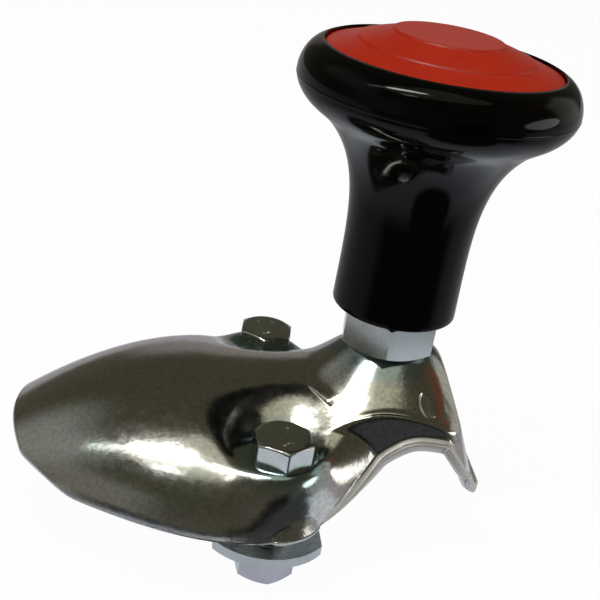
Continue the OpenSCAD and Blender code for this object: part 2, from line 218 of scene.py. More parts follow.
# Studio: ceiling lamps flat over the part, a panel and soft walls placed by direction, and a paper floor.
# Azimuth 0 is towards the viewer and 90 to the right.
studioSettings = {
    "ceiling": {
        "strip": {"place": (-0.47, -0.315, 1.0), "size": (0.56, 0.09), "turn": -8, "radiance": 26.0, "colour": "#fffdf8"},
        "tail": {"place": (-0.96, -0.235, 1.0), "size": (0.46, 0.09), "turn": -12, "radiance": 2.4, "colour": "#f6fbf2"},
        "second": {"place": (-0.56, -0.60, 1.0), "size": (0.30, 0.035), "turn": -8, "radiance": 9.0, "colour": "#fffaf4"},
        "halo": {"place": (-0.20, -0.42, 1.1), "size": (1.45, 0.62), "turn": 0, "radiance": 0.42, "colour": "#fffde4"},
        "top": {"place": (-0.04, -0.12, 1.1), "size": (0.45, 0.24), "turn": 0, "radiance": 0.5, "colour": "#fffdf0"},
        "fill": {"place": (0.1, 0.1, 1.3), "size": (1.2, 1.2), "turn": 0, "radiance": 1.4, "colour": "#ffffff"},
    },
    "panel": {"target": (-0.02, 0, 0), "azimuth": 76, "elevation": 9, "distance": 1.0, "size": (0.64, 0.27), "radiance": 1.9, "colour": "#fbfbf6"},
    "worldTop": "#4a4839", "worldSide": "#57554b", "worldLow": "#55534c",
    "walls": [  # azimuth and half width, lowest and highest sine of the elevation, softness, colour
        (-60, 22, -0.10, 0.45, 0.08, "#7c7a72"), (-98, 24, 0.34, 0.72, 0.13, "#94958f"), (172, 16, -0.3, 0.33, 0.06, "#8f8885"),
        (112, 15, -0.3, 0.56, 0.05, "#bebbb2"), (86, 11, 0.56, 0.68, 0.04, "#74422f"), (16, 16, -0.6, 0.12, 0.06, "#1a1a18"),
    ],
    "wallSoftness": 120,  # degrees at the wall's sides for each unit of its softness
}
floorSettings = {
    "drop": 0.0004, "left": -2, "right": 2, "front": -0.35, "back": 3, "paper": 0.85, "reflected": 0.97,
    "cardNear": 0.095, "cardFar": 0.160, "cardColour": "#dde3ee",  # a light card round the part, seen in reflections
    "notchPlace": (0.030, -0.120), "notchNear": 0.058, "notchFar": 0.074,  # a round piece out of the card's front
    "backColour": "#a8a3a6", "frontColour": "#34363a", "backFrom": -0.03, "backTo": 0.05, "backLean": 0.6,
}


def areaLamp(name, place, toward, size, radiance, colour, turn=0):  # an oval lamp that shines away from "toward"
    lampData = bpy.data.lights.new("lamp" + name.capitalize(), "AREA")
    lampData.shape = "ELLIPSE"
    lampData.size, lampData.size_y = size
    lampData.energy = radiance * math.pi * size[0] * size[1]
    lampData.color = linear(colour)[:3]
    lamp = bpy.data.objects.new(lampData.name, lampData)
    lamp.location = place
    lamp.rotation_mode = "QUATERNION"
    lamp.rotation_quaternion = toward.to_track_quat("Z", "Y") @ Quaternion((0, 0, 1), math.radians(turn))
    bpy.context.scene.collection.objects.link(lamp)
    return lamp


for name, lamp in studioSettings["ceiling"].items():
    made = areaLamp(name, Vector(lamp["place"]), Vector((0, 0, 1)), lamp["size"], lamp["radiance"], lamp["colour"], lamp["turn"])
    made.visible_glossy = name != "fill"
panel = studioSettings["panel"]
azimuth, elevation = math.radians(panel["azimuth"]), math.radians(panel["elevation"])
direction = Vector((math.sin(azimuth) * math.cos(elevation), -math.cos(azimuth) * math.cos(elevation), math.sin(elevation)))
areaLamp("right", Vector(panel["target"]) + direction * panel["distance"], direction, panel["size"], panel["radiance"], panel["colour"])

world = bpy.data.worlds.new("studioWorld")
bpy.context.scene.world = world
world.use_nodes = True
tree = world.node_tree
tree.nodes.clear()
look = addNode(tree, "TexCoord").outputs["Generated"]
height = addNode(tree, "SeparateXYZ", Vector=look).outputs["Z"]
level = addNode(tree, "VectorMath", multiply, n0=look, n1=(1, 1, 0))
level = addNode(tree, "VectorMath", {"operation": "NORMALIZE"}, n0=level.outputs[0])
lift = addNode(tree, "MapRange", Value=height, From_Min=-0.6, From_Max=0.8)
dusk = ramp(tree, lift.outputs["Result"], [(0.0, linear(studioSettings["worldLow"])), (0.45, linear(studioSettings["worldSide"])),
                                           (0.8, linear(studioSettings["worldTop"]))]).outputs["Color"]
for azimuth, width, low, high, edge, colour in studioSettings["walls"]:
    toward = (math.sin(math.radians(azimuth)), -math.cos(math.radians(azimuth)), 0)
    facing = addNode(tree, "VectorMath", {"operation": "DOT_PRODUCT"}, n0=level.outputs[0], n1=toward).outputs["Value"]
    outer = math.cos(math.radians(width + studioSettings["wallSoftness"] * edge))
    inner = math.cos(math.radians(width - studioSettings["wallSoftness"] * edge))
    within = addNode(tree, "MapRange", smooth, Value=facing, From_Min=outer, From_Max=inner)
    under = addNode(tree, "MapRange", smooth, Value=height, From_Min=high - edge, From_Max=high + edge, To_Min=1.0, To_Max=0.0)
    above = addNode(tree, "MapRange", smooth, Value=height, From_Min=low - edge, From_Max=low + edge)
    share = addNode(tree, "Math", multiply, n0=within.outputs[0], n1=under.outputs[0])
    share = addNode(tree, "Math", multiply, n0=share.outputs[0], n1=above.outputs[0])
    dusk = addNode(tree, "Mix", colours, n0=share.outputs[0], n6=dusk, n7=linear(colour)).outputs[2]
path = addNode(tree, "LightPath")
room = addNode(tree, "Background", Color=dusk, Strength=1.0)
paper = addNode(tree, "Background", Color=grey(1.0), Strength=1.0)
shown = addNode(tree, "MixShader", n0=path.outputs["Is Camera Ray"], n1=room.outputs[0], n2=paper.outputs[0])
addNode(tree, "OutputWorld", Surface=shown.outputs[0])

floorData = bpy.data.meshes.new("studioFloor")
floorZ = cadLow.z - floorSettings["drop"]
corners = [("left", "front"), ("right", "front"), ("right", "back"), ("left", "back")]
floorData.from_pydata([(floorSettings[a], floorSettings[b], floorZ) for a, b in corners], [], [(0, 1, 2, 3)])
floor = bpy.data.objects.new("studioFloor", floorData)
bpy.context.scene.collection.objects.link(floor)
# White paper to the camera. In reflections it is a light card round the part, dark in front of it and grey behind
paperMaterial, tree = newMaterial("whitePaper")
path = addNode(tree, "LightPath")
seen = addNode(tree, "Math", maximum, n0=path.outputs["Is Camera Ray"], n1=path.outputs["Is Glossy Ray"])
seen = addNode(tree, "Math", maximum, n0=seen.outputs[0], n1=path.outputs["Is Transmission Ray"])
matte = addNode(tree, "BsdfDiffuse", Color=grey(floorSettings["paper"]))
here = addNode(tree, "TexCoord").outputs["Object"]
away = addNode(tree, "VectorMath", apart, n0=here, n1=(0, 0, floorZ))
card = addNode(tree, "MapRange", smooth, Value=away.outputs["Value"], From_Min=floorSettings["cardNear"],
               From_Max=floorSettings["cardFar"], To_Min=1.0, To_Max=0.0)
notch = addNode(tree, "VectorMath", apart, n0=here, n1=(*floorSettings["notchPlace"], floorZ))
notch = addNode(tree, "MapRange", smooth, Value=notch.outputs["Value"], From_Min=floorSettings["notchNear"], From_Max=floorSettings["notchFar"])
card = addNode(tree, "Math", multiply, n0=card.outputs[0], n1=notch.outputs[0])
parts = addNode(tree, "SeparateXYZ", Vector=here)
across = addNode(tree, "Math", absolute, n0=parts.outputs["X"])
across = addNode(tree, "Math", {"operation": "MULTIPLY_ADD"}, n0=across.outputs[0], n1=floorSettings["backLean"], n2=parts.outputs["Y"])
behind = addNode(tree, "MapRange", smooth, Value=across.outputs[0], From_Min=floorSettings["backFrom"], From_Max=floorSettings["backTo"])
ground = addNode(tree, "Mix", colours, n0=behind.outputs[0], n6=linear(floorSettings["frontColour"]), n7=linear(floorSettings["backColour"]))
ground = addNode(tree, "Mix", colours, n0=card.outputs[0], n6=ground.outputs[2], n7=linear(floorSettings["cardColour"]))
ground = addNode(tree, "Mix", colours, n0=path.outputs["Is Camera Ray"], n6=ground.outputs[2], n7=grey(1.0))
glow = addNode(tree, "Emission", Color=ground.outputs[2], Strength=1.0)
share = addNode(tree, "Math", multiply, n0=seen.outputs[0], n1=floorSettings["reflected"])
finishMaterial(tree, addNode(tree, "MixShader", n0=share.outputs[0], n1=matte.outputs[0], n2=glow.outputs[0]))
floorData.materials.append(paperMaterial)

print("camera, lamps and floor ready")

# Pressed clamp, in millimetres. x runs from the tongue's tip at -reach to the hook, y across, and the spindle stands at 0, 0
clamp = {
    "sheet": 2.5, "reach": 88.0, "bellyW": 80.4, "tipW": 33.0, "skirt": 32.8, "cut": 0.7,
    "back": 9.8, "tipDrop": 17.2, "tipPast": 0.5, "fallFrom": 42, "riseH": 4, "riseFrom": 40, "riseL": 36, "risePower": 1.6,
    "bossFall": 0.25, "bossFallFrom": 2, "bellyBack": 10.4, "leafPower": 1.67, "narrowFrom": 3, "narrowL": 45, "narrowGap": 1.1,
    "domeDrop": 0.7, "domePower": 0.6, "bossBlend": 0.8,
    "wallY": 19.2, "wallZ": 10.2, "wallX": 17.4, "cornerR": 5.5, "cornerGrow": 0.03, "lean": 2.6, "steep": 7.0,
    "flat": 8.5, "coneLeft": 0.95, "coneRight": 0.72, "coneSoft": 0.6, "endX": 10.5, "endBend": 0.08, "endBlend": 1.5,
    "foldLine": (0.16, 1.2, 1.3), "foldGroove": (0.2, 5.5, 2.2), "foldBlend": 0.3,  # height, depth under the fold, width
    "boltX": 25.6, "boltGap": 52.8, "seatZ": 18.0, "seatD": 18.0, "seatStretch": 0.93, "seatOver": 1.1, "seatOut": 1.7,
    "seatSoft": 1.4, "seatSofter": 1.5, "seatSoftOver": 12, "holeD": 9.0, "studHole": 11.0,
    "archH": 14.8, "archX": 9.3, "archRight": 10.8, "archPower": 2.7, "archLeft": 14.5, "hook": 30.3, "hookFrom": 14, "hookBlend": 0.4,
    "lip": 1.9, "lipTurn": 70.0, "lipFrom": -20, "lipOver": 24, "lipGrowFrom": -62, "lipGrowOver": 30, "dullFrom": -14,
    "tipX": 17.0, "tipY": 5.5, "tipBow": 6, "tipBowL": 24,
}
# The clamp's marks, in metres: a crease beside the near seat and a knock on the plate
creaseMark = {"place": (-0.01625, -0.01175, 0), "turn": -49.8, "step": 0.00035, "near": 0.0004, "far": 0.0028, "full": 0.0022, "end": 0.0046}
knockMark = {"place": (0.0095, -0.0155, 0), "inner": 0.0022, "outer": 0.0028, "deepSide": (-0.82, -0.57, 0), "from": 0.0002, "to": 0.0032}
markHeight = 0.00045

# Materials


def zincSheet():  # deep-drawn mild steel, bright zinc plated and blue passivated: a soft mirror with fine speckle and faint tints, and a painted blue-teal reflection and shade round the bolt seats and under the hexagon
    made, tree = newMaterial("brightZincSheet")
    place = addNode(tree, "TexCoord").outputs["Object"]
    cloud = addNode(tree, "TexNoise", Vector=place, Scale=55.0, Detail=3.0, Roughness=0.5)
    tint = ramp(tree, cloud.outputs["Fac"], [(0.28, linear("#cdc8cc")), (0.42, linear("#ccccc2")),
                                             (0.55, linear("#cdcccb")), (0.68, linear("#c6cec8"))])
    speck = addNode(tree, "TexNoise", Vector=place, Scale=1100.0, Detail=2.0, Roughness=0.6)  # specks about 1 mm wide
    dots = ramp(tree, speck.outputs["Fac"], [(0.36, grey(0.82)), (0.6, grey(1.0))])
    base = addNode(tree, "Mix", {**colours, "blend_type": "MULTIPLY"}, n0=1.0, n6=tint.outputs["Color"], n7=dots.outputs["Color"])
    # Painted reflection and shade: a darker blue-teal tint painted round the bolt seats and under the hexagon, where
    # the metal shows blue-grey reflections and shade
    flat = addNode(tree, "VectorMath", multiply, n0=place, n1=(1, 1, 0))
    boltX, boltY = -clamp["boltX"] * mm, clamp["boltGap"] / 2 * mm
    near = addNode(tree, "VectorMath", apart, n0=flat.outputs[0], n1=(boltX, -boltY, 0))
    far = addNode(tree, "VectorMath", apart, n0=flat.outputs[0], n1=(boltX, boltY, 0))
    bolt = addNode(tree, "Math", {"operation": "MINIMUM"}, n0=near.outputs["Value"], n1=far.outputs["Value"])
    bolt = addNode(tree, "MapRange", smooth, Value=bolt.outputs[0], From_Min=0.0078, From_Max=0.0125, To_Min=0.7, To_Max=0.0)
    centre = addNode(tree, "VectorMath", apart, n0=flat.outputs[0], n1=(0, 0, 0))
    centre = addNode(tree, "MapRange", smooth, Value=centre.outputs["Value"], From_Min=0.0118, From_Max=0.0145, To_Min=0.45, To_Max=0.0)
    paintedTealReflection = addNode(tree, "Math", maximum, n0=bolt.outputs[0], n1=centre.outputs[0])
    base = addNode(tree, "Mix", colours, n0=paintedTealReflection.outputs[0], n6=base.outputs[2], n7=linear("#7fa9b4"))
    grain = addNode(tree, "TexNoise", Vector=place, Scale=420.0, Detail=4.0, Roughness=0.6)
    rough = addNode(tree, "MapRange", Value=grain.outputs["Fac"], From_Min=0.3, From_Max=0.7, To_Min=0.12, To_Max=0.20)
    # The crease: a straight step that fades to both sides and at both ends
    mark = creaseMark
    crease = addNode(tree, "Mapping", {"vector_type": "TEXTURE"}, Vector=flat.outputs[0], Location=mark["place"],
                     Rotation=(0, 0, math.radians(mark["turn"])))
    parts = addNode(tree, "SeparateXYZ", Vector=crease.outputs[0])
    step = addNode(tree, "MapRange", smooth, Value=parts.outputs["Y"], From_Min=-mark["step"], From_Max=mark["step"])
    side = addNode(tree, "Math", absolute, n0=parts.outputs["Y"])
    side = addNode(tree, "MapRange", smooth, Value=side.outputs[0], From_Min=mark["near"], From_Max=mark["far"], To_Min=1.0, To_Max=0.0)
    along = addNode(tree, "Math", absolute, n0=parts.outputs["X"])
    along = addNode(tree, "MapRange", smooth, Value=along.outputs[0], From_Min=mark["full"], From_Max=mark["end"], To_Min=1.0, To_Max=0.0)
    creased = addNode(tree, "Math", multiply, n0=step.outputs[0], n1=side.outputs[0])
    creased = addNode(tree, "Math", multiply, n0=creased.outputs[0], n1=along.outputs[0])
    # The knock: a crescent edge 5 mm across, deep on one side, that runs out to the other
    mark = knockMark
    knock = addNode(tree, "VectorMath", apart, n0=flat.outputs[0], n1=mark["place"])
    rim = addNode(tree, "MapRange", smooth, Value=knock.outputs["Value"], From_Min=mark["inner"], From_Max=mark["outer"])
    lean = addNode(tree, "VectorMath", {"operation": "DOT_PRODUCT"}, n0=flat.outputs[0], n1=mark["deepSide"])
    lean = addNode(tree, "MapRange", smooth, Value=lean.outputs["Value"], From_Min=mark["from"], From_Max=mark["to"])
    knocked = addNode(tree, "Math", {"operation": "SUBTRACT"}, n0=1.0, n1=rim.outputs[0])
    knocked = addNode(tree, "Math", multiply, n0=knocked.outputs[0], n1=lean.outputs[0])
    marks = addNode(tree, "Math", {"operation": "SUBTRACT"}, n0=creased.outputs[0], n1=knocked.outputs[0])
    marked = addNode(tree, "Bump", Strength=1.0, Distance=markHeight, Height=marks.outputs[0])
    bump = addNode(tree, "Bump", Strength=0.10, Distance=0.0002, Height=speck.outputs["Fac"], Normal=marked.outputs["Normal"])
    waves = addNode(tree, "TexNoise", Vector=place, Scale=150.0, Detail=2.0)
    wide = addNode(tree, "Bump", Strength=0.06, Distance=0.0006, Height=waves.outputs["Fac"], Normal=bump.outputs["Normal"])
    finishMaterial(tree, addNode(tree, "BsdfPrincipled", Base_Color=base.outputs[2], Metallic=1.0, Roughness=rough.outputs["Result"],
                                 Normal=wide.outputs["Normal"]))
    return made


def zincEdge():  # the same sheet's sheared edge: torn and burnished steel, plated over, chalky and much duller than the face
    made, tree = newMaterial("shearedZincEdge")
    place = addNode(tree, "TexCoord").outputs["Object"]
    streak = addNode(tree, "TexNoise", Vector=place, Scale=700.0, Detail=3.0, Roughness=0.6)
    rough = addNode(tree, "MapRange", Value=streak.outputs["Fac"], From_Min=0.3, From_Max=0.7, To_Min=0.45, To_Max=0.62)
    bump = addNode(tree, "Bump", Strength=0.25, Distance=0.0002, Height=streak.outputs["Fac"])
    finishMaterial(tree, addNode(tree, "BsdfPrincipled", Base_Color=linear("#dcdad9"), Metallic=0.6, Roughness=rough.outputs["Result"],
                                 Normal=bump.outputs["Normal"]))
    return made


def zincTurned(name, tone, low, high, cloudTone="#cdd2cf"):  # plated hardware: formed steel under a thin zinc coat, bright and slightly grainy
    made, tree = newMaterial(name)
    place = addNode(tree, "TexCoord").outputs["Object"]
    cloud = addNode(tree, "TexNoise", Vector=place, Scale=160.0, Detail=3.0)
    tint = ramp(tree, cloud.outputs["Fac"], [(0.3, linear(tone)), (0.7, linear(cloudTone))])
    grain = addNode(tree, "TexNoise", Vector=place, Scale=900.0, Detail=3.0)
    rough = addNode(tree, "MapRange", Value=grain.outputs["Fac"], From_Min=0.3, From_Max=0.7, To_Min=low, To_Max=high)
    bump = addNode(tree, "Bump", Strength=0.04, Distance=0.0001, Height=grain.outputs["Fac"])
    finishMaterial(tree, addNode(tree, "BsdfPrincipled", Base_Color=tint.outputs["Color"], Metallic=1.0, Roughness=rough.outputs["Result"],
                                 Normal=bump.outputs["Normal"]))
    return made


def glossPhenolic():  # compression-moulded phenolic, polished and waxed: near black, a sharp and slightly wavy gloss, weaker than a bare resin's
    made, tree = newMaterial("blackPhenolic")
    place = addNode(tree, "TexCoord").outputs["Object"]
    waves = addNode(tree, "TexNoise", Vector=place, Scale=60.0, Detail=2.0)
    rough = addNode(tree, "MapRange", Value=waves.outputs["Fac"], From_Min=0.3, From_Max=0.7, To_Min=0.07, To_Max=0.11)
    bump = addNode(tree, "Bump", Strength=0.04, Distance=0.0004, Height=waves.outputs["Fac"])
    finishMaterial(tree, addNode(tree, "BsdfPrincipled", Base_Color=linear("#040404"), Roughness=rough.outputs["Result"], IOR=1.25,
                                 Normal=bump.outputs["Normal"]))
    return made


def redAbs():  # injection-moulded ABS, satin gloss: strong red with a soft sheen
    made, tree = newMaterial("redAbs")
    place = addNode(tree, "TexCoord").outputs["Object"]
    cloud = addNode(tree, "TexNoise", Vector=place, Scale=90.0, Detail=3.0)
    tint = ramp(tree, cloud.outputs["Fac"], [(0.3, linear("#b3220a")), (0.7, linear("#bd290d"))])
    grain = addNode(tree, "TexNoise", Vector=place, Scale=1500.0, Detail=2.0)
    bump = addNode(tree, "Bump", Strength=0.1, Distance=0.0001, Height=grain.outputs["Fac"])
    finishMaterial(tree, addNode(tree, "BsdfPrincipled", Base_Color=tint.outputs["Color"], Roughness=0.34, IOR=1.5,
                                 Normal=bump.outputs["Normal"]))
    return made


sheetMetal = zincSheet()
edgeMetal = zincEdge()
boltMetal = zincTurned("zincBolt", "#c2c4c0", 0.12, 0.24)
# Painted shade: the nuts get a darker, greyer copy of the bolts' zinc, for the shade they sit in under the clamp
shadedNutMetal = zincTurned("zincNutShaded", "#aaa9ad", 0.16, 0.28, "#b4b4b8")
strapMetal = zincTurned("zincStrap", "#a9afad", 0.2, 0.34, "#b6bbb9")
spindleMetal = zincTurned("groundSpindle", "#c6cac6", 0.15, 0.2)
knobPlastic = glossPhenolic()
capPlastic = redAbs()
bearingMetal = zincTurned("bearingSteel", "#b8babd", 0.08, 0.14)
cageMetal = zincTurned("pressedCage", "#a8a49a", 0.25, 0.4)

print("materials ready")

# The clamp's surface: one sheet, its top given as a height over the plan, and its inside one thickness below, square to it


def softMax(a, b, k):  # the larger of two heights, their meeting rounded over about k
    return k * np.logaddexp(a / k, b / k)


def backLine(x):  # the tongue's back: a parabola down to the tip, a rise to the boss past the bolts, and a fall behind it
    s = np.clip((x + clamp["reach"] + clamp["tipPast"]) / (clamp["reach"] - clamp["fallFrom"]), 0, 1)
    rise = clamp["riseH"] * np.clip((x + clamp["riseFrom"]) / clamp["riseL"], 0, 1) ** clamp["risePower"]
    fall = clamp["bossFall"] * np.maximum(x + clamp["bossFallFrom"], 0) ** 2
    return -clamp["back"] - clamp["tipDrop"] * (1 - s) ** 2 + rise - fall


def leafHalf(x):  # half width of the plan: a leaf, widest behind the bolts, that narrows to the boss's walls
    bellyX = -clamp["boltX"] - clamp["bellyBack"]
    far = np.clip((bellyX - x) / (clamp["reach"] + bellyX), 0, 1) ** clamp["leafPower"]
    back = smoothStep((x - bellyX - clamp["narrowFrom"]) / clamp["narrowL"])
    wide = clamp["bellyW"] / 2 - (clamp["bellyW"] - clamp["tipW"]) / 2 * far
    return wide * (1 - back) + (clamp["wallY"] + clamp["narrowGap"]) * back


def domeTop(x, y):  # across the leaf the section falls as (1 - t^2)^0.6, where t is 1 at its edge
    t = np.clip(np.abs(y) / leafHalf(x), 0, 1)
    c = backLine(x)
    return c - (c + clamp["skirt"] + clamp["domeDrop"]) * (1 - (1 - t * t) ** clamp["domePower"])


def wallTop(x, y):
    # Walls of a rounded rectangle whose outline grows with the depth h below the fold: half width W + h/steep, end X + h/lean,
    # corner radius R + g h. In the corner (u - a h)^2 + (v - b h)^2 = (R + g h)^2 is solved for h.
    g, radius = clamp["cornerGrow"], clamp["cornerR"]
    y = np.abs(y)
    hSide = (y - clamp["wallY"]) * clamp["steep"]
    hEnd = (x - clamp["wallX"]) * clamp["lean"]
    a, b = 1 / clamp["lean"] - g, 1 / clamp["steep"] - g
    u, v = x - clamp["wallX"] + radius, y - clamp["wallY"] + radius
    p, q, c = a * a + b * b - g * g, a * u + b * v + g * radius, u * u + v * v - radius ** 2
    hCorner = c / np.maximum(q + np.sqrt(np.maximum(q * q - p * c, 0)), 0.05)
    inCorner = (u - a * hCorner > 0) & (v - b * hCorner > 0) & (u > 0)
    return -clamp["wallZ"] - np.where(inCorner, hCorner, np.maximum(hSide, hEnd))


def plateTop(x, y):  # flat under the spindle, falling all round as a cone, and bent down at the end
    r = np.hypot(np.where(x < 0, clamp["coneLeft"] * x, clamp["coneRight"] * x), y) - clamp["flat"]
    slope = clamp["wallZ"] / (clamp["wallY"] - clamp["flat"])
    fall = slope * clamp["coneSoft"] * np.logaddexp(0, r / clamp["coneSoft"])
    end = clamp["endBend"] * np.maximum(x - clamp["endX"], 0) ** 2
    return -(fall ** clamp["endBlend"] + end ** clamp["endBlend"]) ** (1 / clamp["endBlend"])


def bossTop(x, y):  # the lower of plate and walls, and along their fold a raised line with a groove beside it
    plate, wall = plateTop(x, y), wallTop(x, y)
    past = wall - plate
    line, groove = [size * np.exp(-((past - depth) / width) ** 2) for size, depth, width in (clamp["foldLine"], clamp["foldGroove"])]
    relief = (line - groove) * smoothStep((x + 9) / 4) * smoothStep((np.abs(y) - 12) / 3)
    return -softMax(-plate - relief, -wall, clamp["foldBlend"])


def seatShare(x, y, side):  # 1 inside a bolt seat and 0 outside, falling as 1 / (1 + e^r), more softly towards the middle
    dx = x + clamp["boltX"]
    dy = y - side * clamp["boltGap"] / 2
    r = np.hypot(np.where(dx < 0, dx * clamp["seatStretch"], dx), dy)
    soft = clamp["seatSoft"] + clamp["seatSofter"] * smoothStep(-dy * side / clamp["seatSoftOver"])
    past = np.clip((r - clamp["seatD"] / 2 - clamp["seatOut"]) / soft, -40, 40)
    return np.minimum(clamp["seatOver"] / (1 + np.exp(past)), 1)


def sheetTop(x, y):  # the higher of dome and boss, pressed down to the seats' level
    k = seatShare(x, y, -1) + seatShare(x, y, 1)
    return softMax(domeTop(x, y), bossTop(x, y), clamp["bossBlend"]) * (1 - k) - clamp["seatZ"] * k


def edgeLine(x):  # the skirt's lowest edge, with an arch for the wheel's rim, and level again at the hook's end
    right = (np.maximum(x - clamp["archX"], 0) / clamp["archRight"]) ** clamp["archPower"]
    left = (np.maximum(clamp["archX"] - x, 0) / clamp["archLeft"]) ** 2
    arch = -clamp["skirt"] + clamp["archH"] * np.exp(-right - left)
    return np.where(x > clamp["hookFrom"], softMax(arch, -clamp["hook"] + 0 * x, clamp["hookBlend"]), arch)


def lipShare(x):  # how far the edge is turned outward: from nothing on the belly to a full lip along the arch
    return smoothStep((x - clamp["lipFrom"]) / clamp["lipOver"])


def lipLength(x):  # the lip grows from nothing past the belly
    return clamp["lip"] * smoothStep((x - clamp["lipGrowFrom"]) / clamp["lipGrowOver"]) + 0.02


def trimLine(x):  # where the plain sheet ends and its lip starts, so that the lip's cut edge comes down to the edge line
    turn = np.radians(clamp["lipTurn"]) * lipShare(x) + 1e-6
    drop = lipLength(x) * np.sin(turn) / turn + clamp["sheet"] * np.sin(turn) + clamp["cut"] * np.cos(turn)
    slope = (edgeLine(x + 0.05) - edgeLine(x - 0.05)) / 0.1
    return edgeLine(x) + drop * np.minimum(np.hypot(1, slope), 1.5) * (1 - 0.5 * smoothStep((-x - 20) / 20))


def trimHalf(x):  # where the sheet meets its trim line, by halving an interval
    low, high = np.full_like(x, 0.1), np.full_like(x, 60.0)
    goal = trimLine(x)
    for _ in range(26):
        middle = (low + high) / 2
        above = sheetTop(x, middle) > goal
        low, high = np.where(above, middle, low), np.where(above, high, middle)
    return (low + high) / 2


def hookEnd():  # where the end wall meets its trim line in the middle, by halving an interval
    low, high = 14.0, 40.0
    for _ in range(30):
        middle = (low + high) / 2
        if sheetTop(np.array(middle), np.array(0.0)) > trimLine(np.array(middle)):
            low = middle
        else:
            high = middle
    return high


def spaced(edges, count):  # count+1 places along the given stretches, as (start, end, share)
    total = sum(e[2] for e in edges)
    parts = [np.linspace(a, b, max(2, round(count * w / total)), endpoint=False) for a, b, w in edges]
    return np.concatenate(parts + [[edges[-1][1]]])


def unit(v):
    return v / np.maximum(np.linalg.norm(v, axis=-1, keepdims=True), 1e-9)


def surfaceNormal(x, y, h=0.3):  # (-dz/dx, -dz/dy, 1), made one long
    gx = (sheetTop(x + h, y) - sheetTop(x - h, y)) / (2 * h)
    gy = (sheetTop(x, y + h) - sheetTop(x, y - h)) / (2 * h)
    return unit(np.stack([-gx, -gy, np.ones_like(gx)], -1))


def sheetGrid():  # the sheet's top between its trim lines: rows are stations along x, and columns rays from side to side
    start = -clamp["reach"] + clamp["cut"]
    stations = spaced([(start, start + 1.2, 0.03), (start + 1.2, -76, 0.07), (-76, -42, 0.16), (-42, -14, 0.23), (-14, 13.5, 0.38),
                       (13.5, hookEnd() + 0.02, 0.13)], 252)  # the last row is a point, where the two lips meet
    q = np.linspace(-1, 1, 157)
    rays = np.sign(q) * (1 - (1 - np.abs(q)) ** 1.5)
    x, v = np.meshgrid(stations, rays, indexing="ij")
    bow = clamp["tipBow"] * np.clip((-clamp["reach"] + clamp["tipBowL"] - x) / clamp["tipBowL"], 0, 1) ** 2
    away = np.clip(1 - (stations - start) / clamp["tipX"], 0, 1)
    half = trimHalf(stations + bow[:, 0])
    y = v * (half - clamp["tipY"] * (1 - np.sqrt(1 - away ** 2)))[:, None]
    x = x + bow * (y / half[:, None]) ** 2
    return stations, np.stack([x, y, sheetTop(x, y)], -1), surfaceNormal(x, y)


def withLips(stations, top, normal):  # past each trim line the sheet follows an arc outward, p + L (sin(ts)/t d + (1 - cos(ts))/t n)
    turn = (np.radians(clamp["lipTurn"]) * lipShare(stations) + 1e-4)[:, None]
    length = lipLength(stations)[:, None]
    sides = []
    for end in (0, -1):
        rim, n = top[:, end], normal[:, end]
        along = unit(np.gradient(rim, axis=0))
        n = unit(n - along * (n * along).sum(-1, keepdims=True))
        down = np.cross(along, n)
        down = down * np.sign(-down[:, 2:3] - 1e-9)
        steps = np.linspace(0, 1, 7)[1:]
        places = [rim + length * (np.sin(turn * s) / turn * down + (1 - np.cos(turn * s)) / turn * n) for s in steps]
        normals = [unit(np.cos(turn * s) * n - np.sin(turn * s) * down) for s in steps]
        sides.append((places, normals))
    top = np.concatenate([np.stack(sides[0][0][::-1], 1), top, np.stack(sides[1][0], 1)], 1)
    normal = np.concatenate([np.stack(sides[0][1][::-1], 1), normal, np.stack(sides[1][1], 1)], 1)
    return top, normal


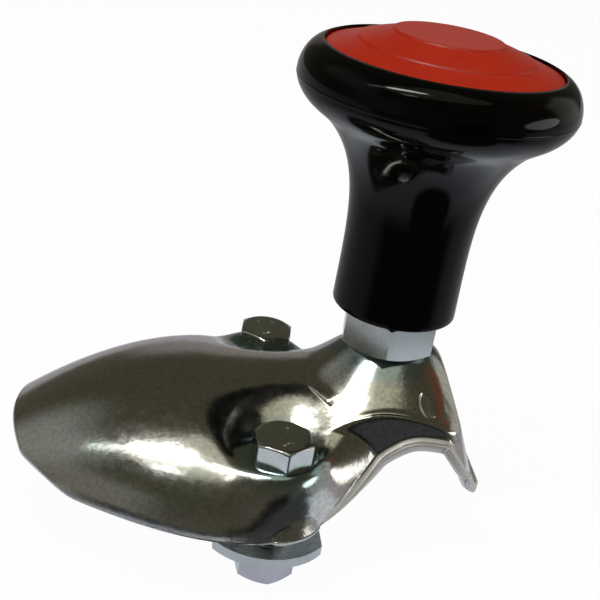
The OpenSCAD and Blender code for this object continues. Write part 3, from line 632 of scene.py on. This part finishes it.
def pressedClamp():
    top, normal = withLips(*sheetGrid())
    rows, cols = top.shape[:2]
    top, normal = top.reshape(-1, 3), normal.reshape(-1, 3)
    quads = gridQuads(rows, cols, False)[:, ::-1]
    centre = top[quads].mean(1)
    keep = np.ones(len(quads), bool)
    boltX, boltY, boltR = -clamp["boltX"], clamp["boltGap"] / 2, clamp["holeD"] / 2
    holes = [(boltX, boltY, boltR), (boltX, -boltY, boltR), (0, 0, clamp["studHole"] / 2)]
    for hx, hy, r in holes:
        keep &= np.hypot(centre[:, 0] - hx, centre[:, 1] - hy) > r
    for hx, hy, r in holes:  # the corners round a hole move onto its circle
        near = np.intersect1d(quads[keep], quads[~keep])
        arm = top[near, :2] - (hx, hy)
        far = np.hypot(arm[:, 0], arm[:, 1])
        near, arm, far = near[far < r + 1], arm[far < r + 1], far[far < r + 1]
        top[near, :2] = (hx, hy) + arm * (r / far)[:, None]
    quads = quads[keep]
    under = top - normal * clamp["sheet"]
    m = rows * cols
    # The cut edge: from the sheet's rim an arc, a flat and a second arc down to the inside, carried round the outline
    index = np.arange(m).reshape(rows, cols)
    loop = np.concatenate([index[0, :-1], index[:-1, -1], index[-1, :0:-1], index[:0:-1, 0]])
    rim, n = top[loop], normal[loop]
    out = unit(np.cross(n, np.roll(rim, -1, 0) - np.roll(rim, 1, 0)))
    angle, cut = np.radians([0, 22, 45, 68, 90]), clamp["cut"]
    turns = [(np.sin(a), 1 - np.cos(a)) for a in angle[1:]] + [(np.cos(a), clamp["sheet"] / cut - 1 + np.sin(a)) for a in angle[:4]]
    rings = [rim + cut * (a * out - b * n) for a, b in turns]
    points = np.concatenate([top, under, *rings])
    points[:, 2] = np.maximum(points[:, 2], -clamp["skirt"])
    count = len(loop)
    order = [loop] + [2 * m + k * count + np.arange(count) for k in range(len(rings))] + [loop + m]
    side = np.concatenate([np.stack([a, b, np.roll(b, -1), np.roll(a, -1)], -1) for a, b in zip(order, order[1:])])
    edges = np.concatenate([quads[:, [i, (i + 1) % 4]] for i in range(4)])
    _, first, shared = np.unique(np.sort(edges, 1), axis=0, return_index=True, return_counts=True)
    bore = edges[first[shared == 1]]
    bore = bore[~np.isin(bore, loop).all(1)]
    bore = np.stack([bore[:, 1], bore[:, 0], bore[:, 0] + m, bore[:, 1] + m], -1)
    faces = np.concatenate([quads, quads[:, ::-1] + m, side, bore])
    made = meshPiece("pressedClamp", points, faces, sheetMetal, "clamp", "upper_clamp")
    # The edge, and the lip where it is turned, have the duller metal
    made.data.materials.append(edgeMetal)
    slots = np.zeros(len(faces), np.int32)
    sideStart = 2 * len(quads)
    slots[sideStart + count:sideStart + len(side) - count] = 1
    slots[sideStart:sideStart + count][rim[:, 0] > clamp["dullFrom"]] = 1
    column = quads[:, 0] % cols
    onLip = (column < 4) | (column > cols - 5)
    slots[:len(quads)][onLip & (top[quads[:, 0], 0] > clamp["dullFrom"])] = 1
    made.data.polygons.foreach_set("material_index", slots)


pressedClamp()
print("pressed clamp ready")

# Knob: waisted neck, flaring throat and a round rim with a faint parting line, a recess for the cap and a stepped bore
knob = {"neckD": 29.7, "waist": 0.4, "height": 60.7, "headD": 63.6, "coreD": 52.0, "rimUp": 8.0, "rimDown": 6.6, "z": 10.0,
        "flare": 5.2, "underPower": 1.33, "recessR": 26.6, "recess": 3.2, "boreD": 22.0, "lowSeat": 19.5, "topSeat": 46.5,
        "ridge": 0.10, "ridgeW": 0.22}
crownZ = knob["z"] + knob["height"]
rimZ = crownZ - knob["rimUp"]


def knobProfile():
    # Throat: the radius grows as t^5.2 from the neck, less a sine for the waist. Rim: an ellipse over the widest line, and under it
    # one with its cosine and sine to the power 1.33. All three are sampled evenly and smoothed together
    coreR, outR = knob["coreD"] / 2, knob["headD"] / 2 - knob["coreD"] / 2
    t = np.linspace(0.02, 26 / 27, 60)
    waist = knob["waist"] / 2 * np.sin(np.radians(np.minimum(t * 260, 180)))
    throat = np.stack([knob["neckD"] / 2 - waist + (coreR - knob["neckD"] / 2) * t ** knob["flare"],
                       knob["z"] + (rimZ - knob["rimDown"] - knob["z"]) * t], -1)
    a = np.radians(np.linspace(72, 2, 36))
    power = knob["underPower"]
    low = np.stack([coreR + outR * np.cos(a) ** power, rimZ - knob["rimDown"] * np.sin(a) ** power], -1)
    a = np.radians(np.linspace(0, 83.5, 44))
    high = np.stack([coreR + outR * np.cos(a), rimZ + knob["rimUp"] * np.sin(a)], -1)
    line = np.concatenate([throat, low, high])
    place = np.concatenate([[0], np.cumsum(np.linalg.norm(np.diff(line, axis=0), axis=1))])
    even = np.arange(0, place[-1], 0.12)
    line = np.stack([np.interp(even, place, line[:, k]) for k in (0, 1)], -1)
    width = 10  # a Gaussian, 1.2 mm wide, takes the flats out of the joined curves
    bell = np.exp(-0.5 * (np.arange(-3 * width, 3 * width + 1) / width) ** 2)
    bell /= bell.sum()
    before = 2 * line[0] - line[1:3 * width + 1][::-1]
    after = 2 * line[-1] - line[-3 * width - 1:-1][::-1]
    padded = np.concatenate([before, line, after])
    line = np.stack([np.convolve(padded[:, k], bell, "valid") for k in (0, 1)], -1)
    line[:, 0] += knob["ridge"] * np.exp(-((line[:, 1] - rimZ) / knob["ridgeW"]) ** 2)
    keep = (np.arange(len(line)) % 4 == 0) | (np.abs(line[:, 1] - rimZ) < 1.2)
    boreR, shelfR = knob["boreD"] / 2, knob["boreD"] / 2 - 2
    foot = filleted([[boreR, knob["z"] + 1], [boreR, knob["z"]], [knob["neckD"] / 2, knob["z"]], line[2]], [0, 0.3, 0.7, 0])
    inner = filleted([line[-1], [knob["recessR"], crownZ - 0.35], [knob["recessR"], crownZ - knob["recess"]], [boreR, crownZ - knob["recess"]],
                      [boreR, knob["topSeat"]], [shelfR, knob["topSeat"]], [shelfR, knob["lowSeat"]], [boreR, knob["lowSeat"]],
                      [boreR, knob["z"] + 1.2]], [0, 0.3, 0.2, 0.2, 0.1, 0.1, 0.1, 0.1, 0])
    return np.concatenate([foot[:-1], line[keep][1:-1], inner])


points, faces = turned(knobProfile(), 240, closed=True)
meshPiece("knobMoulding", points, faces, knobPlastic, "knob", "knob_body")

# Cap: a dished moulding with two tiers and a centre disc, each behind a small rounded step
cap = {"r": 26.5, "tier": 19.6, "disc": 12.2, "step": 0.45, "rise": 5.2, "edge": -0.8, "wall": 1.8, "stepLean": 0.35, "skirtGap": 0.02}


def capProfile():  # from the inside of the disc out to the edge and back over the top: a cone in two tiers, its corners filleted
    z0 = crownZ + cap["edge"]
    rise = cap["rise"] - 2 * cap["step"]
    z1 = z0 + rise * (cap["r"] - cap["tier"]) / (cap["r"] - cap["disc"])
    z2 = z0 + rise + cap["step"]
    low = crownZ - knob["recess"] + cap["skirtGap"]
    s, w, lean = cap["step"], cap["wall"], cap["stepLean"]
    line = filleted([[0, z2 + s - w], [cap["disc"], z2 + s - w], [cap["tier"], z1 + s - w],
                     [cap["r"] - w, z0 - w], [cap["r"] - w, low], [cap["r"], low], [cap["r"], z0],
                     [cap["tier"] + lean, z1], [cap["tier"], z1 + s], [cap["disc"] + lean, z2], [cap["disc"], z2 + s], [0, z2 + s]],
                    [0, 1, 1, 1, 0.3, 0.3, 0.55, 0.25, 0.25, 0.25, 0.25, 0])
    return refined(line, 1.0)[1:-1]


points, faces = turned(capProfile(), 192)
meshPiece("redCap", points, faces, capPlastic, "knob", "knob_cap")
print("knob and cap ready")

# Clamp bolts: hexagon heads with a chamfered top, a shank and a rolled thread
bolt = {"d": 8.0, "head": 5.3, "af": 13.0, "pitch": 1.25, "depth": 0.62, "end": -48.0, "turnNear": 34.5, "turnFar": 21.6, "chamfer": 0.58,
        "threadTop": -30.0, "threadStep": 0.16, "markH": 0.16,
        "marks": [(3.3, 95, 1.5, 0.55), (3.6, 40, 1.2, 0.5), (3.2, -95, 2.2, 0.6), (3.9, -128, 1.0, 0.45)]}  # radius, angle, length, width


def hexLimit(af, turn, sharp=70.0):  # distance to a hexagon's side in each direction, its corners rounded by a power mean
    start = math.radians(turn)

    def limit(a):
        lean = [np.maximum(np.cos(a - start - (k + 0.5) * tau / 6), 0) ** sharp for k in range(6)]
        return af / 2 / sum(lean) ** (1 / sharp)
    return limit


def softMin(a, b, sharp=110.0):  # the smaller of two radii, by a power mean
    return (np.maximum(a, 0.01) ** -sharp + b ** -sharp) ** (-1 / sharp)


def threadWave(turns):  # 0 in the root and 1 on the crest, with short flats
    t = np.abs(2 * (turns - np.floor(turns)) - 1)
    return smoothStep(t * 1.2 - 0.1)


def raisedMark(centre, angle, length, width, height):  # a rounded bar: height times the root of (1 - |u|^5)(1 - |v|^3)
    rows, cols = 13, 9
    u, v = np.meshgrid(np.linspace(-1, 1, rows), np.linspace(-1, 1, cols), indexing="ij")
    lift = np.maximum(1 - np.abs(u) ** 5, 0) * np.maximum(1 - np.abs(v) ** 3, 0)
    x, y = u * length / 2, v * width / 2 * (1 - 0.35 * u ** 4)
    c, s = math.cos(angle), math.sin(angle)
    points = np.stack([centre[0] + x * c - y * s, centre[1] + x * s + y * c, centre[2] - 0.02 + lift ** 0.5 * height], -1)
    return points.reshape(-1, 3), gridQuads(rows, cols, False).tolist()


def clampBolt(name, side, turn, replaced):  # a turned profile, cut by the hexagon in the head and by a helix in the thread
    seat = -clamp["seatZ"]
    top = seat + bolt["head"]
    af, r = bolt["af"], bolt["d"] / 2
    placeX, placeY = -clamp["boltX"], side * clamp["boltGap"] / 2
    limit = hexLimit(af, turn)
    rows = np.arange(bolt["end"], bolt["threadTop"], bolt["threadStep"])
    shank = np.concatenate([[[r - 1.1, bolt["end"]], [r - 0.55, bolt["end"] + 0.05]],
                            np.stack([np.full(len(rows) - 2, r), rows[2:]], -1), [[r, seat - 0.05]]])
    head = filleted([[r, seat], [af * 0.62, seat], [af * 0.62, top - bolt["chamfer"] * 1.6], [af * 0.475, top], [0, top]],
                    [0, 0.15, 0.2, 0.25, 0], 4)
    head = refined(head, 0.8)
    profile = np.concatenate([shank, head[1:-1]])

    def radiusAt(rr, z, a):
        inHead = z > seat - 0.01
        lead = smoothStep((z - bolt["end"]) / 1.4) * smoothStep((bolt["threadTop"] + 1 - z) / 2)
        groove = bolt["depth"] * (1 - threadWave(z / bolt["pitch"] - a / tau)) * lead
        tip = np.clip((bolt["end"] + 1.0 - z), 0, 1) * 0.9
        threaded = np.minimum(rr, r) - groove - tip * (rr > r - 0.2)
        return np.where(inHead & (rr > r + 0.05), softMin(rr, limit(a)), threaded)

    parts = [turned(profile, 144, radiusAt, centre=(placeX, placeY, 0))]
    for out, degrees, length, width in bolt["marks"]:
        a = math.radians(degrees + turn)
        middle = (placeX + out * math.cos(a), placeY + out * math.sin(a), top)
        parts.append(raisedMark(middle, a + 1.2, length, width, bolt["markH"]))
    points, faces = joined(parts)
    meshPiece(name, points, faces, boltMetal, "clamp", replaced)


clampBolt("boltNear", -1, bolt["turnNear"], "bolt_near")
clampBolt("boltFar", 1, bolt["turnFar"], "bolt_far")
print("bolts ready")

# The other pieces keep their CAD shapes and get their metals, and the ones in sight get softer edges
for name, material in {
        "lower_strap": strapMetal, "nut_near": shadedNutMetal, "nut_far": shadedNutMetal,
        "spindle": spindleMetal, "spring_washer": spindleMetal, "stud_nut": spindleMetal,
        "inner_race_low": bearingMetal, "outer_race_low": bearingMetal, "balls_low": bearingMetal, "cage_low": cageMetal,
        "inner_race_top": bearingMetal, "outer_race_top": bearingMetal, "balls_top": bearingMetal, "cage_top": cageMetal,
        "spacer_tube": spindleMetal, "top_washer": spindleMetal, "top_nut": spindleMetal}.items():
    node = nodes[name]
    node.data.materials.clear()
    node.data.materials.append(material)
for name, width in (("lower_strap", 0.35), ("nut_near", 0.15), ("nut_far", 0.15), ("spindle", 0.2)):
    softenEdges(nodes[name], width, 35)

print("all pieces ready")
